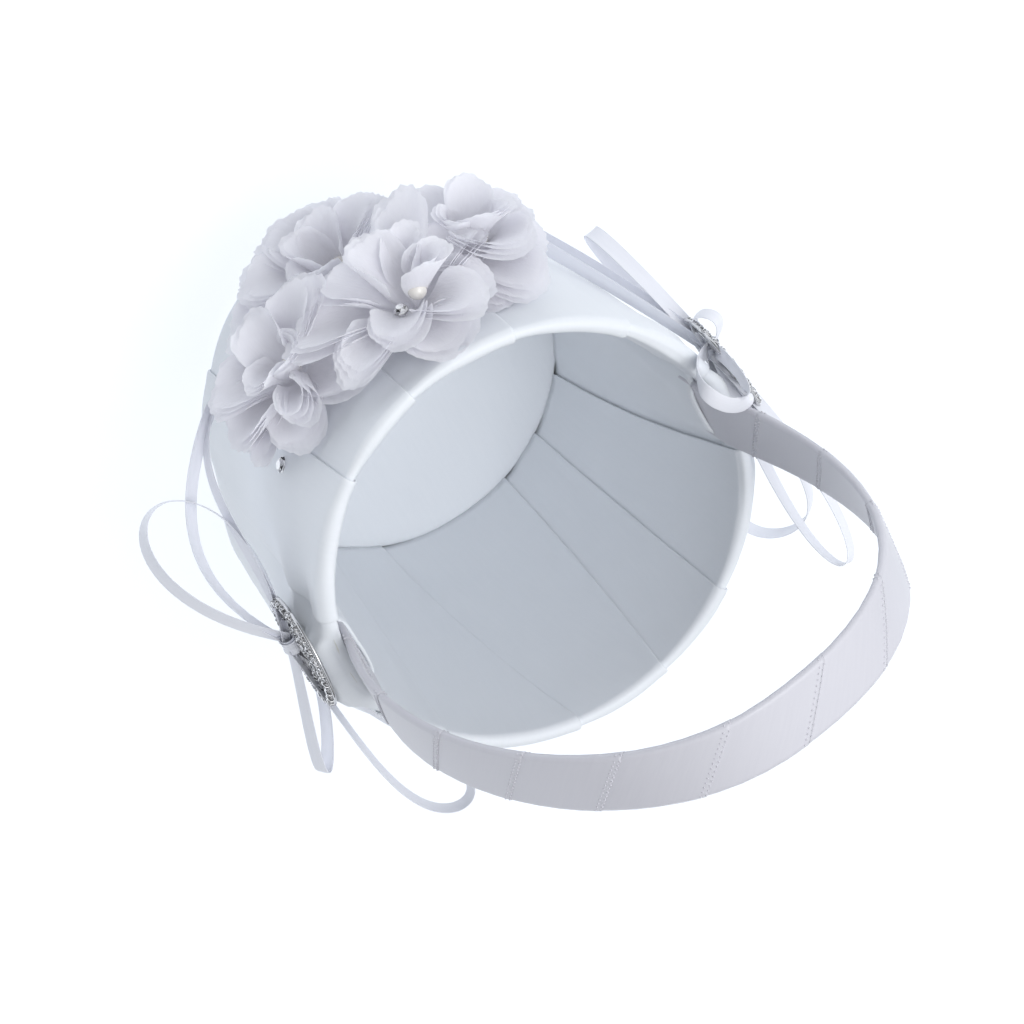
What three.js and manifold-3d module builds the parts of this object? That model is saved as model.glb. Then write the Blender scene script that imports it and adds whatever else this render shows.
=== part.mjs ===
// Flower girl basket: a round tapered bucket wrapped in folded satin, with a ribbon-wrapped strip
// handle, four chiffon flowers on the front, and a rhinestone brooch under a ribbon bow on each side.
// Millimetres. The origin is the centre of the underside, +Z is up, -Y is the flowered front, and the
// handle ends are at +X and -X.

import * as THREE from 'three';
import { mergeVertices } from 'three/addons/utils/BufferGeometryUtils.js';
import Module from 'manifold-3d';

const wasm = await Module();
wasm.setup();

// ---- Driving dimensions ----

const BODY_HEIGHT = 119;
const RIM_RADIUS = 70;
const BASE_RADIUS = 61.3;
const GAP = 0.3; // between pieces that lie on each other
const ROUND_STEPS = 60; // facets round the body

const SATIN = 0.7; // folded satin, batting included
const SHELL_WALL = 1.2;
const SHELL_INSET = SATIN + GAP; // outer satin face to shell face
const LINING_INSET = SHELL_INSET + SHELL_WALL + GAP; // outer satin face to inner satin's hidden face
const RIM_ROLL = (LINING_INSET + SATIN) / 2; // radius of the satin's turn over the rim

const BASE_COVER_RADIUS = 60;
const BASE_COVER_THICKNESS = 1.2;
const FOLD_UNDER_RADIUS = 50; // the satin is turned under the base as far in as this
const FOLD_UNDER_Z = BASE_COVER_THICKNESS + GAP;
const SHELL_FLOOR_Z = FOLD_UNDER_Z + SATIN + GAP;
const FLOOR_PAD_Z = SHELL_FLOOR_Z + SHELL_WALL + GAP;
const FLOOR_PAD_THICKNESS = 1.6;

const PLEAT_ANGLES = [14, 40, 78, 105, 131, 166, 194, 221, 252, 283, 309, 346];
const HANDLE_ZONES = [5, 11]; // panels that cross the handle ends, counted from zero
const HOOK_DEPTH = 10; // how far the satin turns in over the rim at the handle ends
// Hidden face of the loose lining at the handle ends: depth below the rim, and radius.
const LINING_BACK = [[12, 61.6], [16, 60.2], [40, 59.1]];

const HANDLE_WIDTH = 23.4;
const HANDLE_CROWN_WIDTH = 21.5;
const HANDLE_THICKNESS = 2.4;
const WRAP_WALL = 0.4;
const CORE_THICKNESS = HANDLE_THICKNESS - 2 * (WRAP_WALL + GAP);
const HANDLE_RISE = 129.8; // rim to the crown's centreline
const HANDLE_X = 64.05; // centreline of the strip at the rim
const HANDLE_TAB_DEPTH = 38; // strip below the rim, inside the wall
const CROWN_X = -9.8; // the springy strip leans a little to one side
const HANDLE_STEPS = 60;

const STAPLE_WIRE = 0.7;
const STAPLE_WIDTH = 10;
const STAPLE_DEPTHS = [17, 30];
const SLOT_LENGTH = 20; // of the cutter that opens the strip, its ribbon and the shell for a leg

const BROOCH = { x: 75.6, y: -4, z: 104, radius: 19, tube: 1.5, inner: 8.55, scrolls: 8, scrollWire: 1.05 };
const BROOCH_STONE_TABLE = 0.6; // share of the stone's radius
const BROOCH_STONE_HEIGHT = 2.2;
const KNOT = { x: 81.2, y: -9, z: 103.5, across: 7, along: 6, thickness: 6, corner: 1.4 };

const RIBBON_WIDTH = 5;
const RIBBON_THICKNESS = 0.5;
const LOOP_START = 5; // the strands start this far from the knot's centre
const LOOP_SPREAD = 0.9; // half the distance between the strands at the knot
const LOOP_STEPS = 16;
const RIBBON_STEPS = 20;

// Each loop: where its tip is from the knot, the way its broad opening faces, how wide it opens, and
// how far out of the knot's middle its strands start.
const RIGHT_LOOPS = [
  { tip: [14, -41, -37], facing: [0.13, -0.58, 0.8], opening: 22, layer: 4.6 },
  { tip: [-8, -55, -53], facing: [1, -0.4, 0.1], opening: 14, layer: 0.4 },
  { tip: [6, 40, -4], facing: [0.9, -0.3, 0.2], opening: 9, layer: 3 },
  { tip: [-5, 57, 26], facing: [1, -0.2, 0.1], opening: 13, layer: 1 },
];
const LEFT_LOOPS = [
  { tip: [6, -37, -49], facing: [-0.8, -0.54, 0.25], opening: 10, layer: 1 },
  { tip: [5, -26, 6], facing: [-0.9, -0.3, 0.2], opening: 9, layer: 2 },
  { tip: [4, 62, 28], facing: [-1, -0.2, 0.1], opening: 14, layer: 1 },
  { tip: [2, 60, -6], facing: [-1, -0.2, 0.1], opening: 13, layer: 0.4 },
];

// Each flower: its bearing round the body, its height, how far its petals reach, its standoff from the
// wall and its number of petals.
const FLOWERS = [
  { name: 'top', bearing: 267, z: 86, reach: 28, lift: 7, petals: 6, rhinestone: true },
  { name: 'low', bearing: 274, z: 53, reach: 25, lift: 6, petals: 6 },
  { name: 'left', bearing: 296, z: 74, reach: 27, lift: 6, petals: 7 },
  { name: 'right', bearing: 246, z: 68, reach: 27, lift: 6, petals: 6 },
];
const FLOWER_TILT = 14; // degrees that the flowers look up
const BACKING_RADIUS = 8;
const BACKING_LIFT = 3.2; // wall to the felt backing at the flower's middle
const PETAL_THICKNESS = 1;

// A flower's petals are joined into three cups, each with its share of the reach and the rise of its rim.
const CUPS = [
  { word: 'outer', share: 1, rise: 3 },
  { word: 'middle', share: 0.84, rise: 9 },
  { word: 'inner', share: 0.62, rise: 13 },
];
const PETAL_NOTCH = 0.3; // how far the rim is drawn in between two petals, as a share of the reach
const THROAT_DEPTH = 3; // inner cup's floor to the pearl
const PEARL_RADIUS = 3;
const PEARL_ASIDE = 3.2; // from the flower's axis
const STONE = { radius: 2.4, table: 0.55, height: 2, seat: 1.6 };
const STUD = { bearing: 318, z: 78, radius: 2.6, table: 0.5, girdle: 0.8, height: 2 };

// ---- Materials ----

const finish = (color, roughness, metalness = 0) =>
  new THREE.MeshStandardMaterial({ color, roughness, metalness });

const satinFinish = finish(0xe4e9f0, 0.42);
const handleSatinFinish = finish(0xd2d1dc, 0.4);
const chiffonFinish = finish(0xe6e5f0, 0.85);
const ribbonFinish = finish(0xe9ecf5, 0.35);
const boardFinish = finish(0xd9d9d4, 0.8);
const plasticFinish = finish(0xeeeeea, 0.5);
const steelFinish = finish(0xb9bcc0, 0.3, 1);
const silverFinish = finish(0xc9cbcf, 0.22, 1);
const crystalFinish = finish(0xdfe6ee, 0.05, 0.3);
const pearlFinish = finish(0xf1ece2, 0.25);

// ---- Geometry helpers ----

const radians = THREE.MathUtils.degToRad;
const basket = new THREE.Group();

function addPart(name, geometry, material) {
  const mesh = new THREE.Mesh(geometry, material);
  mesh.name = name;
  basket.add(mesh);
}

// The outer satin face's radius at a height.
const outside = (z) => BASE_RADIUS + ((RIM_RADIUS - BASE_RADIUS) * z) / BODY_HEIGHT;

// A point inside the outer satin face: [radius, height].
const inset = (distance, z) => [outside(z) - distance, z];

function toManifold(geometry) {
  const bare = geometry.index ? geometry.clone() : geometry;
  bare.deleteAttribute('normal');
  bare.deleteAttribute('uv');
  const merged = mergeVertices(bare, 1e-4);
  const vertProperties = new Float32Array(merged.attributes.position.array);
  const corners = merged.index.array;
  const kept = [];
  for (let i = 0; i < corners.length; i += 3) {
    const [a, b, c] = [corners[i], corners[i + 1], corners[i + 2]];
    if (a !== b && b !== c && c !== a) kept.push(a, b, c);
  }
  const triVerts = new Uint32Array(kept);
  return new wasm.Manifold(new wasm.Mesh({ numProp: 3, vertProperties, triVerts }));
}

function toGeometry(manifold) {
  const mesh = manifold.getMesh();
  const geometry = new THREE.BufferGeometry();
  geometry.setAttribute('position', new THREE.BufferAttribute(new Float32Array(mesh.vertProperties), 3));
  geometry.setIndex([...mesh.triVerts]);
  geometry.computeVertexNormals();
  return geometry;
}

// Turns a profile of [radius, height] points about Z. A profile that leaves the axis is closed.
function turned(profile, steps = ROUND_STEPS) {
  const points = profile.map(([r, z]) => new THREE.Vector2(r, z));
  if (THREE.ShapeUtils.area(points) < 0) points.reverse();
  const onAxis = points[0].x === 0 && points[points.length - 1].x === 0;
  if (!onAxis) points.push(points[0].clone());
  return new THREE.LatheGeometry(points, steps).rotateX(Math.PI / 2);
}

// Points along an arc about a [radius, height] centre.
function arc([r, z], radius, fromDegrees, toDegrees, count) {
  return Array.from({ length: count + 1 }, (_, i) => {
    const angle = radians(fromDegrees + ((toDegrees - fromDegrees) * i) / count);
    return [r + radius * Math.cos(angle), z + radius * Math.sin(angle)];
  });
}

// A tall wedge between two bearings, held back by half a gap on each side.
function wedge(fromDegrees, toDegrees) {
  const far = 2 * RIM_RADIUS;
  const middle = radians((fromDegrees + toDegrees) / 2);
  const back = GAP / 2 / Math.sin(radians((toDegrees - fromDegrees) / 2));
  const apex = new THREE.Vector2(back * Math.cos(middle), back * Math.sin(middle));
  const shape = new THREE.Shape([
    apex,
    new THREE.Vector2(far * Math.cos(radians(fromDegrees)), far * Math.sin(radians(fromDegrees))).add(apex),
    new THREE.Vector2(far * Math.cos(radians(toDegrees)), far * Math.sin(radians(toDegrees))).add(apex),
  ]);
  return new THREE.ExtrudeGeometry(shape, { depth: 2 * BODY_HEIGHT, bevelEnabled: false });
}

const sector = (ring, fromDegrees, toDegrees) =>
  toGeometry(toManifold(ring).intersect(toManifold(wedge(fromDegrees, toDegrees))));

function block(sizeX, sizeY, sizeZ, x, y, z) {
  return new THREE.BoxGeometry(sizeX, sizeY, sizeZ).translate(x, y, z);
}

// ---- Body ----

function bucketShell() {
  const top = BODY_HEIGHT - 2 * SATIN;
  const hidden = SHELL_INSET + SHELL_WALL;
  return turned([
    [0, SHELL_FLOOR_Z],
    inset(SHELL_INSET, SHELL_FLOOR_Z),
    inset(SHELL_INSET, top),
    inset(hidden, top),
    inset(hidden, SHELL_FLOOR_Z + SHELL_WALL),
    [0, SHELL_FLOOR_Z + SHELL_WALL],
  ]);
}

function baseCover() {
  const chamfer = 0.4;
  return turned([
    [0, 0],
    [BASE_COVER_RADIUS - chamfer, 0],
    [BASE_COVER_RADIUS, chamfer],
    [BASE_COVER_RADIUS, BASE_COVER_THICKNESS],
    [0, BASE_COVER_THICKNESS],
  ]);
}

function floorPad() {
  const edge = outside(FLOOR_PAD_Z) - LINING_INSET - SATIN - GAP;
  const top = FLOOR_PAD_Z + FLOOR_PAD_THICKNESS;
  const chamfer = 0.5;
  return turned([
    [0, FLOOR_PAD_Z],
    [edge, FLOOR_PAD_Z],
    [edge, top - chamfer],
    [edge - chamfer, top],
    [0, top],
  ]);
}

// The satin's section: turned under the base, up the outside, over the rim, and down inside to innerZ.
function satinRing(innerZ) {
  const rollZ = BODY_HEIGHT - RIM_ROLL;
  const rollCentre = inset(RIM_ROLL, rollZ);
  return turned([
    [FOLD_UNDER_RADIUS, FOLD_UNDER_Z],
    inset(0, FOLD_UNDER_Z),
    ...arc(rollCentre, RIM_ROLL, 0, 180, 6),
    inset(LINING_INSET + SATIN, innerZ),
    inset(LINING_INSET, innerZ),
    ...arc(rollCentre, RIM_ROLL - SATIN, 180, 0, 4),
    inset(SATIN, FOLD_UNDER_Z + SATIN),
    [FOLD_UNDER_RADIUS, FOLD_UNDER_Z + SATIN],
  ]);
}

// The lining at a handle end bows inward to clear the strip and its staples.
function liningRing() {
  const back = LINING_BACK.map(([depth, radius]) => [radius, BODY_HEIGHT - depth]);
  const foot = inset(LINING_INSET, FLOOR_PAD_Z);
  const hiddenFace = [...back, foot];
  const shownFace = hiddenFace.map(([r, z]) => [r - SATIN, z]).reverse();
  return turned([...hiddenFace, ...shownFace]);
}

const panelSpans = PLEAT_ANGLES.map((from, i) => {
  const to = PLEAT_ANGLES[(i + 1) % PLEAT_ANGLES.length];
  return [from, to > from ? to : to + 360];
});

function addBody() {
  const fullRing = satinRing(FLOOR_PAD_Z);
  const hookRing = satinRing(BODY_HEIGHT - HOOK_DEPTH);
  panelSpans.forEach(([from, to], i) => {
    const ring = HANDLE_ZONES.includes(i) ? hookRing : fullRing;
    const number = String(i + 1).padStart(2, '0');
    addPart(`satin_panel_${number}`, sector(ring, from, to), satinFinish);
  });
  const [left, right] = HANDLE_ZONES.map((zone) => sector(liningRing(), ...panelSpans[zone]));
  addPart('lining_panel_left', left, satinFinish);
  addPart('lining_panel_right', right, satinFinish);
  addPart('base_cover', baseCover(), satinFinish);
  addPart('floor_pad', floorPad(), satinFinish);
  addPart('bucket_shell', withStapleSlots(bucketShell()), boardFinish);
}

// ---- Handle ----

const taper = (RIM_RADIUS - BASE_RADIUS) / BODY_HEIGHT;
const tabX = (depth) => HANDLE_X - taper * depth;

function handlePath() {
  const point = (x, rise) => new THREE.Vector3(x, 0, BODY_HEIGHT + rise);
  const rightFoot = point(HANDLE_X, 0);
  const leftFoot = point(-HANDLE_X, 0);
  const crown = point(CROWN_X, HANDLE_RISE);
  const path = new THREE.CurvePath();
  path.add(new THREE.LineCurve3(point(tabX(HANDLE_TAB_DEPTH), -HANDLE_TAB_DEPTH), rightFoot));
  path.add(new THREE.CubicBezierCurve3(rightFoot, point(80.6, 52.7), point(38.6, HANDLE_RISE), crown));
  path.add(new THREE.CubicBezierCurve3(crown, point(-84.2, HANDLE_RISE), point(-80.4, 60.9), leftFoot));
  path.add(new THREE.LineCurve3(leftFoot, point(-tabX(HANDLE_TAB_DEPTH), -HANDLE_TAB_DEPTH)));
  return path;
}

function rectangle(width, thickness) {
  return [
    new THREE.Vector2(-width / 2, -thickness / 2),
    new THREE.Vector2(width / 2, -thickness / 2),
    new THREE.Vector2(width / 2, thickness / 2),
    new THREE.Vector2(-width / 2, thickness / 2),
  ];
}

// Sweeps a section along the handle, and narrows it evenly from the rim to the crown.
function handleSweep(shape) {
  const geometry = new THREE.ExtrudeGeometry(shape, {
    steps: HANDLE_STEPS,
    extrudePath: handlePath(),
    bevelEnabled: false,
  });
  const position = geometry.attributes.position;
  for (let i = 0; i < position.count; i++) {
    const rise = THREE.MathUtils.clamp((position.getZ(i) - BODY_HEIGHT) / HANDLE_RISE, 0, 1);
    const narrowing = THREE.MathUtils.lerp(1, HANDLE_CROWN_WIDTH / HANDLE_WIDTH, rise);
    position.setY(i, position.getY(i) * narrowing);
  }
  return geometry;
}

function handleWrap() {
  const inner = 2 * WRAP_WALL;
  const shape = new THREE.Shape(rectangle(HANDLE_WIDTH, HANDLE_THICKNESS));
  shape.holes.push(new THREE.Path(rectangle(HANDLE_WIDTH - inner, HANDLE_THICKNESS - inner)));
  return handleSweep(shape);
}

function handleCore() {
  const width = HANDLE_WIDTH - 2 * (WRAP_WALL + GAP) - 2 * GAP;
  return handleSweep(new THREE.Shape(rectangle(width, CORE_THICKNESS)));
}

// A staple's crown lies on the strip's inner face, and its legs run out through the strip and shell.
function staple(side, depth) {
  const crownOut = tabX(depth) - HANDLE_THICKNESS / 2 - GAP;
  const crownIn = crownOut - STAPLE_WIRE;
  const legEnd = outside(BODY_HEIGHT - depth) - SHELL_INSET;
  const half = STAPLE_WIDTH / 2;
  const shape = new THREE.Shape(
    [
      [crownIn, -half],
      [legEnd, -half],
      [legEnd, -half + STAPLE_WIRE],
      [crownOut, -half + STAPLE_WIRE],
      [crownOut, half - STAPLE_WIRE],
      [legEnd, half - STAPLE_WIRE],
      [legEnd, half],
      [crownIn, half],
    ].map(([x, y]) => new THREE.Vector2(x, y)),
  );
  const bar = new THREE.ExtrudeGeometry(shape, { depth: STAPLE_WIRE, bevelEnabled: false });
  bar.translate(0, 0, BODY_HEIGHT - depth - STAPLE_WIRE / 2);
  return side > 0 ? bar : bar.rotateZ(Math.PI);
}

function withStapleSlots(geometry) {
  let result = toManifold(geometry);
  const slot = STAPLE_WIRE + 2 * GAP;
  const legY = (STAPLE_WIDTH - STAPLE_WIRE) / 2;
  for (const side of [1, -1]) {
    for (const depth of STAPLE_DEPTHS) {
      for (const y of [-legY, legY]) {
        const hole = block(SLOT_LENGTH, slot, slot, side * RIM_RADIUS, y, BODY_HEIGHT - depth);
        result = result.subtract(toManifold(hole));
      }
    }
  }
  return toGeometry(result);
}

function addHandle() {
  addPart('handle_core', withStapleSlots(handleCore()), plasticFinish);
  addPart('handle_wrap', withStapleSlots(handleWrap()), handleSatinFinish);
  for (const [word, side] of [['right', 1], ['left', -1]]) {
    STAPLE_DEPTHS.forEach((depth, i) => {
      addPart(`staple_${word}_${i + 1}`, staple(side, depth), steelFinish);
    });
  }
}

// ---- Brooches and bows ----

// Stands a geometry that faces +Z on a side of the basket, facing out.
function placeOnSide(geometry, side, place) {
  geometry.rotateX(Math.PI / 2).rotateZ((side * Math.PI) / 2);
  return geometry.translate(side * place.x, place.y, place.z);
}

// An openwork brooch: an outer and an inner ring joined by straight scrolls.
function broochFrame(side) {
  const { radius, tube, inner, scrolls, scrollWire } = BROOCH;
  const outer = radius - tube;
  const ring = (r) => new THREE.TorusGeometry(r, tube, 5, 24);
  let frame = toManifold(ring(outer)).add(toManifold(ring(inner)));
  for (let i = 0; i < scrolls; i++) {
    const scroll = new THREE.CylinderGeometry(scrollWire, scrollWire, outer - inner, 6);
    scroll.translate(0, (outer + inner) / 2, 0).rotateZ((2 * Math.PI * (i + 0.25)) / scrolls);
    frame = frame.add(toManifold(scroll));
  }
  return placeOnSide(toGeometry(frame), side, BROOCH);
}

function broochStone(side) {
  const radius = BROOCH.inner - BROOCH.tube - GAP;
  const table = radius * BROOCH_STONE_TABLE;
  const stone = new THREE.CylinderGeometry(table, radius, BROOCH_STONE_HEIGHT, 8).rotateX(Math.PI / 2);
  return placeOnSide(stone, side, BROOCH);
}

function knot(side) {
  const { across, along, thickness, corner } = KNOT;
  const shape = new THREE.Shape();
  shape.moveTo(-across / 2 + corner, -along / 2);
  shape.lineTo(across / 2 - corner, -along / 2);
  shape.quadraticCurveTo(across / 2, -along / 2, across / 2, -along / 2 + corner);
  shape.lineTo(across / 2, along / 2 - corner);
  shape.quadraticCurveTo(across / 2, along / 2, across / 2 - corner, along / 2);
  shape.lineTo(-across / 2 + corner, along / 2);
  shape.quadraticCurveTo(-across / 2, along / 2, -across / 2, along / 2 - corner);
  shape.lineTo(-across / 2, -along / 2 + corner);
  shape.quadraticCurveTo(-across / 2, -along / 2, -across / 2 + corner, -along / 2);
  const body = new THREE.ExtrudeGeometry(shape, { depth: thickness, bevelEnabled: false, curveSegments: 3 });
  return placeOnSide(body.translate(0, 0, -thickness / 2), side, KNOT);
}

// A flat ribbon that leaves the knot, turns at the tip and comes back.
function ribbonLoop(side, { tip, facing, opening, layer }) {
  const tipVector = new THREE.Vector3(...tip);
  const reach = tipVector.length();
  const along = tipVector.normalize();
  const face = new THREE.Vector3(...facing);
  face.addScaledVector(along, -face.dot(along)).normalize();
  const across = along.clone().cross(face);
  const points = [];
  for (let i = 0; i <= LOOP_STEPS; i++) {
    const turn = (Math.PI * i) / LOOP_STEPS;
    const out = LOOP_START + (reach - LOOP_START) * Math.sin(turn);
    const offset = (opening / 2) * Math.sin(2 * turn) + LOOP_SPREAD * Math.cos(turn);
    points.push(new THREE.Vector3(out, 0, offset));
  }
  const ribbon = new THREE.ExtrudeGeometry(new THREE.Shape(rectangle(RIBBON_WIDTH, RIBBON_THICKNESS)), {
    steps: RIBBON_STEPS,
    extrudePath: new THREE.CatmullRomCurve3(points),
    bevelEnabled: false,
  });
  const placed = new THREE.Matrix4().makeBasis(along, face, across);
  return ribbon.applyMatrix4(placed).translate(side * (KNOT.x + layer), KNOT.y, KNOT.z);
}

function addSideTrim() {
  for (const [word, side, loops] of [['right', 1, RIGHT_LOOPS], ['left', -1, LEFT_LOOPS]]) {
    addPart(`brooch_${word}_frame`, broochFrame(side), silverFinish);
    addPart(`brooch_${word}_stone`, broochStone(side), crystalFinish);
    addPart(`bow_${word}_knot`, knot(side), ribbonFinish);
    loops.forEach((loop, i) => {
      addPart(`bow_${word}_loop_${i + 1}`, ribbonLoop(side, loop), ribbonFinish);
    });
  }
}

// ---- Flowers ----

// A cup of joined round petals: a thin dish whose rim is drawn in between the petals.
function petalCup(reach, petals, floor, rise) {
  const rings = [0, 0.55, 1];
  const curve = (share) => floor + rise * share * share;
  const under = rings.map((share) => [reach * share, curve(share)]);
  const over = under.map(([r, z]) => [r, z + PETAL_THICKNESS]).reverse();
  const dish = turned([...under, ...over], petals * 4);
  const position = dish.attributes.position;
  for (let i = 0; i < position.count; i++) {
    const [x, y] = [position.getX(i), position.getY(i)];
    const share = Math.hypot(x, y) / reach;
    const between = 1 - Math.abs(Math.sin((petals * Math.atan2(y, x)) / 2));
    const notch = 1 - PETAL_NOTCH * share * between;
    position.setXY(i, x * notch, y * notch);
  }
  return dish;
}

// Turns a flower's own frame, with its axis along +Z, to its place on the wall.
function flowerMatrix({ bearing, z, lift }) {
  const angle = radians(bearing);
  const tilt = radians(FLOWER_TILT);
  const axis = new THREE.Vector3(
    Math.cos(angle) * Math.cos(tilt),
    Math.sin(angle) * Math.cos(tilt),
    Math.sin(tilt),
  );
  const sideways = new THREE.Vector3(-Math.sin(angle), Math.cos(angle), 0);
  const upward = axis.clone().cross(sideways);
  const standoff = outside(z) + lift;
  return new THREE.Matrix4()
    .makeBasis(sideways, upward, axis)
    .setPosition(standoff * Math.cos(angle), standoff * Math.sin(angle), z);
}

const middleOf = (flower) => new THREE.Vector3().setFromMatrixPosition(flowerMatrix(flower));

// Neighbouring flowers press flat against each other halfway between their middles.
function pressed(geometry, flower) {
  let result = toManifold(geometry);
  const own = middleOf(flower);
  for (const other of FLOWERS.filter((candidate) => candidate !== flower)) {
    const between = middleOf(other).sub(own);
    const reach = 4 * RIM_RADIUS;
    const far = block(reach, reach, reach, 0, 0, (reach + between.length() - GAP) / 2);
    const turn = new THREE.Quaternion().setFromUnitVectors(new THREE.Vector3(0, 0, 1), between.normalize());
    far.applyQuaternion(turn).translate(own.x, own.y, own.z);
    result = result.subtract(toManifold(far));
  }
  return toGeometry(result);
}

function addFlower(flower) {
  const place = flowerMatrix(flower);
  const { name, reach, lift, petals } = flower;
  const back = BACKING_LIFT - lift;
  const felt = turned([[0, back], [BACKING_RADIUS, back], [BACKING_RADIUS, -GAP], [0, -GAP]], 20);
  addPart(`flower_${name}_backing`, felt.applyMatrix4(place), chiffonFinish);
  CUPS.forEach(({ word, share, rise }, i) => {
    const cup = petalCup(share * reach, petals, i * (PETAL_THICKNESS + GAP), rise);
    addPart(`flower_${name}_petals_${word}`, pressed(cup.applyMatrix4(place), flower), chiffonFinish);
  });
  const seat = CUPS.length * (PETAL_THICKNESS + GAP) + THROAT_DEPTH;
  const pearl = new THREE.SphereGeometry(PEARL_RADIUS, 10, 6);
  pearl.translate(-PEARL_ASIDE, 0, seat + PEARL_RADIUS);
  addPart(`flower_${name}_pearl`, pearl.applyMatrix4(place), pearlFinish);
  if (!flower.rhinestone) return;
  const table = STONE.radius * STONE.table;
  const stone = new THREE.CylinderGeometry(table, STONE.radius, STONE.height, 8).rotateX(Math.PI / 2);
  stone.translate(PEARL_ASIDE, 0, seat + STONE.seat);
  addPart(`flower_${name}_rhinestone`, stone.applyMatrix4(place), crystalFinish);
}

function addStud() {
  const { bearing, z, radius, table, girdle, height } = STUD;
  const profile = [[0, 0], [radius, 0], [radius, girdle], [radius * table, height], [0, height]];
  const stud = turned(profile, 10).rotateY(Math.PI / 2);
  stud.translate(outside(z) + GAP, 0, z).rotateZ(radians(bearing));
  addPart('crystal_stud', stud, crystalFinish);
}

addBody();
addHandle();
addSideTrim();
FLOWERS.forEach(addFlower);
addStud();

export default basket;
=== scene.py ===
import math
import random

import bpy
import numpy as np
from mathutils import Matrix, Vector, noise


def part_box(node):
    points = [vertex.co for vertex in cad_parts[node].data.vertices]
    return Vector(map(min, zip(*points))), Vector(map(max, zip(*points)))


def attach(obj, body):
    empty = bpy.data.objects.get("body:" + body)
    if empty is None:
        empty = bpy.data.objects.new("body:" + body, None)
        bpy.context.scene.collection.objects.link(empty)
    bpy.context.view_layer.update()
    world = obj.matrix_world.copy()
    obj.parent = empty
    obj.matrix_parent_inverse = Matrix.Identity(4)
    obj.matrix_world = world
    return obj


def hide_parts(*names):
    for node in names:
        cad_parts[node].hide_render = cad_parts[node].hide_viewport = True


# Flower girl basket. The shapes are worked out in millimetres and turned into metres by add_mesh.

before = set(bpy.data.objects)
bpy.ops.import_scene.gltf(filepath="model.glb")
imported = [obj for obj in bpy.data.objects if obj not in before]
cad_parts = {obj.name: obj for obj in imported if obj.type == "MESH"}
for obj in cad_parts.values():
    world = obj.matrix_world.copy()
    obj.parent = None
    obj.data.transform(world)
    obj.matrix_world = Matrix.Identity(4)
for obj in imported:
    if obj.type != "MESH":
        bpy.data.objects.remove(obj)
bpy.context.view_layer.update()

MM = 0.001
UP = Vector((0, 0, 1))


def box_mm(node):
    low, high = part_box(node)
    return Vector(low) / MM, Vector(high) / MM


def middle_mm(node):
    low, high = box_mm(node)
    return (low + high) / 2


# ---- Places taken from the frame ----

RIM_Z = box_mm("satin_panel_03")[1].z
RIM_RADIUS = box_mm("satin_panel_03")[1].y
COVER_TOP = box_mm("base_cover")[1].z
COVER_RADIUS = box_mm("base_cover")[1].x
BASE_RADIUS = COVER_RADIUS + 1.3
PAD_LOW, PAD_HIGH = box_mm("floor_pad")
HANDLE_TOP = box_mm("handle_core")[1].z

SATIN_FOLD = 1.5  # satin's underside above the ground
RIM_ROLL = 1.6  # radius of the turn over the rim
LINING_INSET = 2 * RIM_ROLL
FOLD_UNDER = 11.5  # satin turned in under the base
PAD_CLEAR = 0.6  # satin's end above the floor pad's underside


def wall_radius(z):
    return BASE_RADIUS + (RIM_RADIUS - BASE_RADIUS) * z / RIM_Z


# ---- Camera ----

AZIMUTH = math.radians(12.49)
ELEVATION = math.radians(53.37)
ROLL = math.radians(135.67)
CAMERA_DISTANCE = 1107
SENSOR_WIDTH = 36
LENS = 132.2
AIM_SIDE = -8.77  # from the middle of the mouth, across the picture and up it
AIM_UP = 7.86


def add_camera():
    low = math.cos(ELEVATION)
    back = Vector((math.sin(AZIMUTH) * low, -math.cos(AZIMUTH) * low, math.sin(ELEVATION)))
    level = (-back).cross(UP).normalized()
    above = level.cross(-back)
    across = math.cos(ROLL) * level + math.sin(ROLL) * above
    upward = -math.sin(ROLL) * level + math.cos(ROLL) * above
    aim = Vector((0, 0, RIM_Z)) + AIM_SIDE * across + AIM_UP * upward
    camera = bpy.data.objects.new("camera", bpy.data.cameras.new("camera"))
    camera.data.sensor_width = SENSOR_WIDTH
    camera.data.lens = LENS
    camera.data.clip_start = 0.01
    turn = Matrix((across, upward, back)).transposed().to_4x4()
    camera.matrix_world = Matrix.Translation((aim + CAMERA_DISTANCE * back) * MM) @ turn
    bpy.context.scene.collection.objects.link(camera)
    bpy.context.scene.camera = camera


add_camera()

# ---- Mesh helpers ----


class Surface:
    """Collects the points, faces and texture places of one mesh."""

    def __init__(self):
        self.points = []
        self.places = []
        self.faces = []
        self.tones = []

    def add(self, points, faces, places=None, tone=None):
        start = len(self.points)
        self.points.extend(points)
        self.places.extend(places or [(0.0, 0.0)] * len(points))
        self.faces.extend([[start + i for i in face] for face in faces])
        self.tones.extend([tone] * len(faces))

    def add_grid(self, rows, places=None, closed=False):
        count = len(rows[0])
        last = count if closed else count - 1
        faces = []
        for i in range(len(rows) - 1):
            for j in range(last):
                k = (j + 1) % count
                faces.append([i * count + j, i * count + k, (i + 1) * count + k, (i + 1) * count + j])
        flat = [point for row in rows for point in row]
        flat_places = [place for row in places for place in row] if places else None
        self.add(flat, faces, flat_places)


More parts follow.
